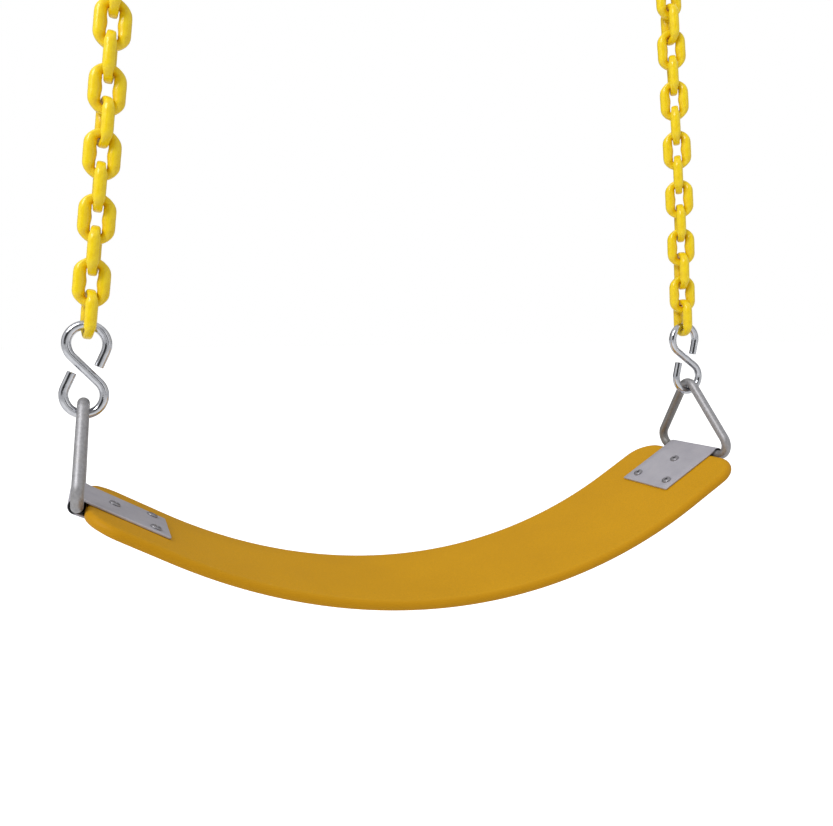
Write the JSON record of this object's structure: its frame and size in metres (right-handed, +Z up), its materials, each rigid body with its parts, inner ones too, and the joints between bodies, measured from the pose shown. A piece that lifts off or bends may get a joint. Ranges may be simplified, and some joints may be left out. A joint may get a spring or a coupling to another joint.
{
  "type": "belt swing",
  "caption": "Flexible strap swing seat in folded hanger plates, with triangles, S-hooks, coated chains and spring snap hooks.",
  "frame": {"origin": "midway between the two snap hooks, on the line where their narrow ends bear on the overhead hangers", "axes": "+X along the seat from its left end to its right end, +Y to the back of the seat, +Z up"},
  "size_m": [0.6322, 0.15, 0.6517],
  "materials": {
    "belt_rubber": "satin",
    "chain_vinyl": "gloss vinyl coat",
    "bright_zinc": "bright zinc plate",
    "galvanised_rod": "satin galvanised",
    "plate_sheet": "matt zinc",
    "rivet_steel": "satin"
  },
  "bodies": {
    "snap_hooks": {"left_snap_body": "bright_zinc", "left_snap_hinge_pin": "bright_zinc", "right_snap_body": "bright_zinc", "right_snap_hinge_pin": "bright_zinc"},
    "left_gate": {"left_snap_gate": "bright_zinc", "left_snap_latch_pin": "bright_zinc", "left_snap_spring": "bright_zinc"},
    "left_link_14": {"left_link_14": "chain_vinyl"},
    "left_link_13": {"left_link_13": "chain_vinyl"},
    "left_link_12": {"left_link_12": "chain_vinyl"},
    "left_link_11": {"left_link_11": "chain_vinyl"},
    "left_link_10": {"left_link_10": "chain_vinyl"},
    "left_link_09": {"left_link_09": "chain_vinyl"},
    "left_link_08": {"left_link_08": "chain_vinyl"},
    "left_link_07": {"left_link_07": "chain_vinyl"},
    "left_link_06": {"left_link_06": "chain_vinyl"},
    "left_link_05": {"left_link_05": "chain_vinyl"},
    "left_link_04": {"left_link_04": "chain_vinyl"},
    "left_link_03": {"left_link_03": "chain_vinyl"},
    "left_link_02": {"left_link_02": "chain_vinyl"},
    "left_link_01": {"left_link_01": "chain_vinyl"},
    "left_s_hook": {"left_s_hook": "bright_zinc"},
    "left_triangle": {"left_triangle": "galvanised_rod"},
    "right_gate": {"right_snap_gate": "bright_zinc", "right_snap_latch_pin": "bright_zinc", "right_snap_spring": "bright_zinc"},
    "right_link_14": {"right_link_14": "chain_vinyl"},
    "right_link_13": {"right_link_13": "chain_vinyl"},
    "right_link_12": {"right_link_12": "chain_vinyl"},
    "right_link_11": {"right_link_11": "chain_vinyl"},
    "right_link_10": {"right_link_10": "chain_vinyl"},
    "right_link_09": {"right_link_09": "chain_vinyl"},
    "right_link_08": {"right_link_08": "chain_vinyl"},
    "right_link_07": {"right_link_07": "chain_vinyl"},
    "right_link_06": {"right_link_06": "chain_vinyl"},
    "right_link_05": {"right_link_05": "chain_vinyl"},
    "right_link_04": {"right_link_04": "chain_vinyl"},
    "right_link_03": {"right_link_03": "chain_vinyl"},
    "right_link_02": {"right_link_02": "chain_vinyl"},
    "right_link_01": {"right_link_01": "chain_vinyl"},
    "right_s_hook": {"right_s_hook": "bright_zinc"},
    "right_triangle": {"right_triangle": "galvanised_rod"},
    "seat": {"seat_belt": "belt_rubber", "left_hanger_plate": "plate_sheet", "right_hanger_plate": "plate_sheet", "left_rivet_1": "rivet_steel", "left_rivet_2": "rivet_steel", "left_rivet_3": "rivet_steel", "right_rivet_1": "rivet_steel", "right_rivet_2": "rivet_steel", "right_rivet_3": "rivet_steel"}
  },
  "joints": [
    {"name": "left_swing", "type": "hinge", "parent": "snap_hooks", "child": "left_link_14", "pos_m": [-0.2535, 0, -0.06225], "axis": [1, 0, -0.0004], "range_deg": [-45, 45]},
    {"name": "left_sway", "type": "hinge", "parent": "left_link_14", "child": "left_link_13", "pos_m": [-0.25642, 0, -0.08658], "axis": [0, 1, 0], "range_deg": [-4, 4]},
    {"name": "left_link_12_twist", "type": "hinge", "parent": "left_link_13", "child": "left_link_12", "pos_m": [-0.26117, 0, -0.12629], "axis": [0.1189, 0, 0.9929], "range_deg": [-5, 5]},
    {"name": "left_link_11_twist", "type": "hinge", "parent": "left_link_12", "child": "left_link_11", "pos_m": [-0.26117, 0, -0.12629], "axis": [0.1189, 0, 0.9929], "range_deg": [-5.5, 5.5]},
    {"name": "left_link_10_twist", "type": "hinge", "parent": "left_link_11", "child": "left_link_10", "pos_m": [-0.267, 0, -0.17495], "axis": [0.1189, 0, 0.9929], "range_deg": [-5, 5]},
    {"name": "left_link_09_twist", "type": "hinge", "parent": "left_link_10", "child": "left_link_09", "pos_m": [-0.267, 0, -0.17495], "axis": [0.1189, 0, 0.9929], "range_deg": [-5.5, 5.5]},
    {"name": "left_link_08_twist", "type": "hinge", "parent": "left_link_09", "child": "left_link_08", "pos_m": [-0.27283, 0, -0.2236], "axis": [0.1189, 0, 0.9929], "range_deg": [-5, 5]},
    {"name": "left_link_07_twist", "type": "hinge", "parent": "left_link_08", "child": "left_link_07", "pos_m": [-0.27283, 0, -0.2236], "axis": [0.1189, 0, 0.9929], "range_deg": [-5.5, 5.5]},
    {"name": "left_link_06_twist", "type": "hinge", "parent": "left_link_07", "child": "left_link_06", "pos_m": [-0.27865, 0, -0.27225], "axis": [0.1189, 0, 0.9929], "range_deg": [-5, 5]},
    {"name": "left_link_05_twist", "type": "hinge", "parent": "left_link_06", "child": "left_link_05", "pos_m": [-0.27865, 0, -0.27225], "axis": [0.1189, 0, 0.9929], "range_deg": [-5.5, 5.5]},
    {"name": "left_link_04_twist", "type": "hinge", "parent": "left_link_05", "child": "left_link_04", "pos_m": [-0.28448, 0, -0.3209], "axis": [0.1189, 0, 0.9929], "range_deg": [-5, 5]},
    {"name": "left_link_03_twist", "type": "hinge", "parent": "left_link_04", "child": "left_link_03", "pos_m": [-0.28448, 0, -0.3209], "axis": [0.1189, 0, 0.9929], "range_deg": [-5.5, 5.5]},
    {"name": "left_link_02_twist", "type": "hinge", "parent": "left_link_03", "child": "left_link_02", "pos_m": [-0.29031, 0, -0.36956], "axis": [0.1189, 0, 0.9929], "range_deg": [-5, 5]},
    {"name": "left_link_01_twist", "type": "hinge", "parent": "left_link_02", "child": "left_link_01", "pos_m": [-0.29031, 0, -0.36956], "axis": [0.1189, 0, 0.9929], "range_deg": [-5.5, 5.5]},
    {"name": "left_s_hook_twist", "type": "hinge", "parent": "left_link_01", "child": "left_s_hook", "pos_m": [-0.29773, 0, -0.43694], "axis": [0.0958, 0, 0.9954], "range_deg": [-8, 8]},
    {"name": "left_triangle_twist", "type": "hinge", "parent": "left_s_hook", "child": "left_triangle", "pos_m": [-0.29773, 0, -0.43694], "axis": [0.0958, 0, 0.9954], "range_deg": [-8.5, 8.5]},
    {"name": "left_gate_hinge", "type": "hinge", "parent": "snap_hooks", "child": "left_gate", "pos_m": [-0.25433, -0.01089, -0.0141], "axis": [1, 0, 0], "range_deg": [0, 28], "stiffness_Nm_per_rad": 0.1, "springref_deg": -17.19},
    {"name": "right_swing", "type": "hinge", "parent": "snap_hooks", "child": "right_link_14", "pos_m": [0.25357, 0, -0.06244], "axis": [1, 0, -0.0004], "range_deg": [-46, 46]},
    {"name": "right_sway", "type": "hinge", "parent": "right_link_14", "child": "right_link_13", "pos_m": [0.25634, 0, -0.08679], "axis": [0, 1, 0], "range_deg": [-4.2, 4.2]},
    {"name": "right_link_12_twist", "type": "hinge", "parent": "right_link_13", "child": "right_link_12", "pos_m": [0.26087, 0, -0.12653], "axis": [-0.1132, 0, 0.9936], "range_deg": [-5, 5]},
    {"name": "right_link_11_twist", "type": "hinge", "parent": "right_link_12", "child": "right_link_11", "pos_m": [0.26087, 0, -0.12653], "axis": [-0.1132, 0, 0.9936], "range_deg": [-5.5, 5.5]},
    {"name": "right_link_10_twist", "type": "hinge", "parent": "right_link_11", "child": "right_link_10", "pos_m": [0.26633, 0, -0.17522], "axis": [-0.1097, 0, 0.994], "range_deg": [-5, 5]},
    {"name": "right_link_09_twist", "type": "hinge", "parent": "right_link_10", "child": "right_link_09", "pos_m": [0.26633, 0, -0.17522], "axis": [-0.1097, 0, 0.994], "range_deg": [-5.5, 5.5]},
    {"name": "right_link_08_twist", "type": "hinge", "parent": "right_link_09", "child": "right_link_08", "pos_m": [0.2716, 0, -0.22394], "axis": [-0.1045, 0, 0.9945], "range_deg": [-5, 5]},
    {"name": "right_link_07_twist", "type": "hinge", "parent": "right_link_08", "child": "right_link_07", "pos_m": [0.2716, 0, -0.22394], "axis": [-0.1045, 0, 0.9945], "range_deg": [-5.5, 5.5]},
    {"name": "right_link_06_twist", "type": "hinge", "parent": "right_link_07", "child": "right_link_06", "pos_m": [0.27645, 0, -0.2727], "axis": [-0.0924, 0, 0.9957], "range_deg": [-5, 5]},
    {"name": "right_link_05_twist", "type": "hinge", "parent": "right_link_06", "child": "right_link_05", "pos_m": [0.27645, 0, -0.2727], "axis": [-0.0924, 0, 0.9957], "range_deg": [-5.5, 5.5]},
    {"name": "right_link_04_twist", "type": "hinge", "parent": "right_link_05", "child": "right_link_04", "pos_m": [0.28063, 0, -0.32152], "axis": [-0.0785, 0, 0.9969], "range_deg": [-5, 5]},
    {"name": "right_link_03_twist", "type": "hinge", "parent": "right_link_04", "child": "right_link_03", "pos_m": [0.28063, 0, -0.32152], "axis": [-0.0785, 0, 0.9969], "range_deg": [-5.5, 5.5]},
    {"name": "right_link_02_twist", "type": "hinge", "parent": "right_link_03", "child": "right_link_02", "pos_m": [0.28424, 0, -0.37039], "axis": [-0.0698, 0, 0.9976], "range_deg": [-5, 5]},
    {"name": "right_link_01_twist", "type": "hinge", "parent": "right_link_02", "child": "right_link_01", "pos_m": [0.28424, 0, -0.37039], "axis": [-0.0698, 0, 0.9976], "range_deg": [-5.5, 5.5]},
    {"name": "right_s_hook_twist", "type": "hinge", "parent": "right_link_01", "child": "right_s_hook", "pos_m": [0.29155, 0, -0.43773], "axis": [-0.1571, 0, 0.9876], "range_deg": [-8, 8]},
    {"name": "right_triangle_twist", "type": "hinge", "parent": "right_s_hook", "child": "right_triangle", "pos_m": [0.29155, 0, -0.43773], "axis": [-0.1571, 0, 0.9876], "range_deg": [-8.5, 8.5]},
    {"name": "right_gate_hinge", "type": "hinge", "parent": "snap_hooks", "child": "right_gate", "pos_m": [0.25436, -0.01089, -0.0143], "axis": [1, 0, 0], "range_deg": [0, 28], "stiffness_Nm_per_rad": 0.1, "springref_deg": -17.19},
    {"name": "seat_pivot", "type": "hinge", "parent": "left_triangle", "child": "seat", "pos_m": [-0.3074, 0, -0.53737], "axis": [0, 1, 0], "range_deg": [-3.6, 3.6]}
  ],
  "couplings": [
    {"joint": "left_link_11_twist", "follows": "left_link_12_twist", "ratio": -1},
    {"joint": "left_link_09_twist", "follows": "left_link_10_twist", "ratio": -1},
    {"joint": "left_link_07_twist", "follows": "left_link_08_twist", "ratio": -1},
    {"joint": "left_link_05_twist", "follows": "left_link_06_twist", "ratio": -1},
    {"joint": "left_link_03_twist", "follows": "left_link_04_twist", "ratio": -1},
    {"joint": "left_link_01_twist", "follows": "left_link_02_twist", "ratio": -1},
    {"joint": "left_triangle_twist", "follows": "left_s_hook_twist", "ratio": -1},
    {"joint": "right_link_11_twist", "follows": "right_link_12_twist", "ratio": -1},
    {"joint": "right_link_09_twist", "follows": "right_link_10_twist", "ratio": -1},
    {"joint": "right_link_07_twist", "follows": "right_link_08_twist", "ratio": -1},
    {"joint": "right_link_05_twist", "follows": "right_link_06_twist", "ratio": -1},
    {"joint": "right_link_03_twist", "follows": "right_link_04_twist", "ratio": -1},
    {"joint": "right_link_01_twist", "follows": "right_link_02_twist", "ratio": -1},
    {"joint": "right_triangle_twist", "follows": "right_s_hook_twist", "ratio": -1},
    {"joint": "right_swing", "follows": "left_swing", "ratio": 1},
    {"joint": "right_sway", "follows": "left_sway", "ratio": 1},
    {"joint": "seat_pivot", "follows": "left_sway", "ratio": -0.834}
  ]
}
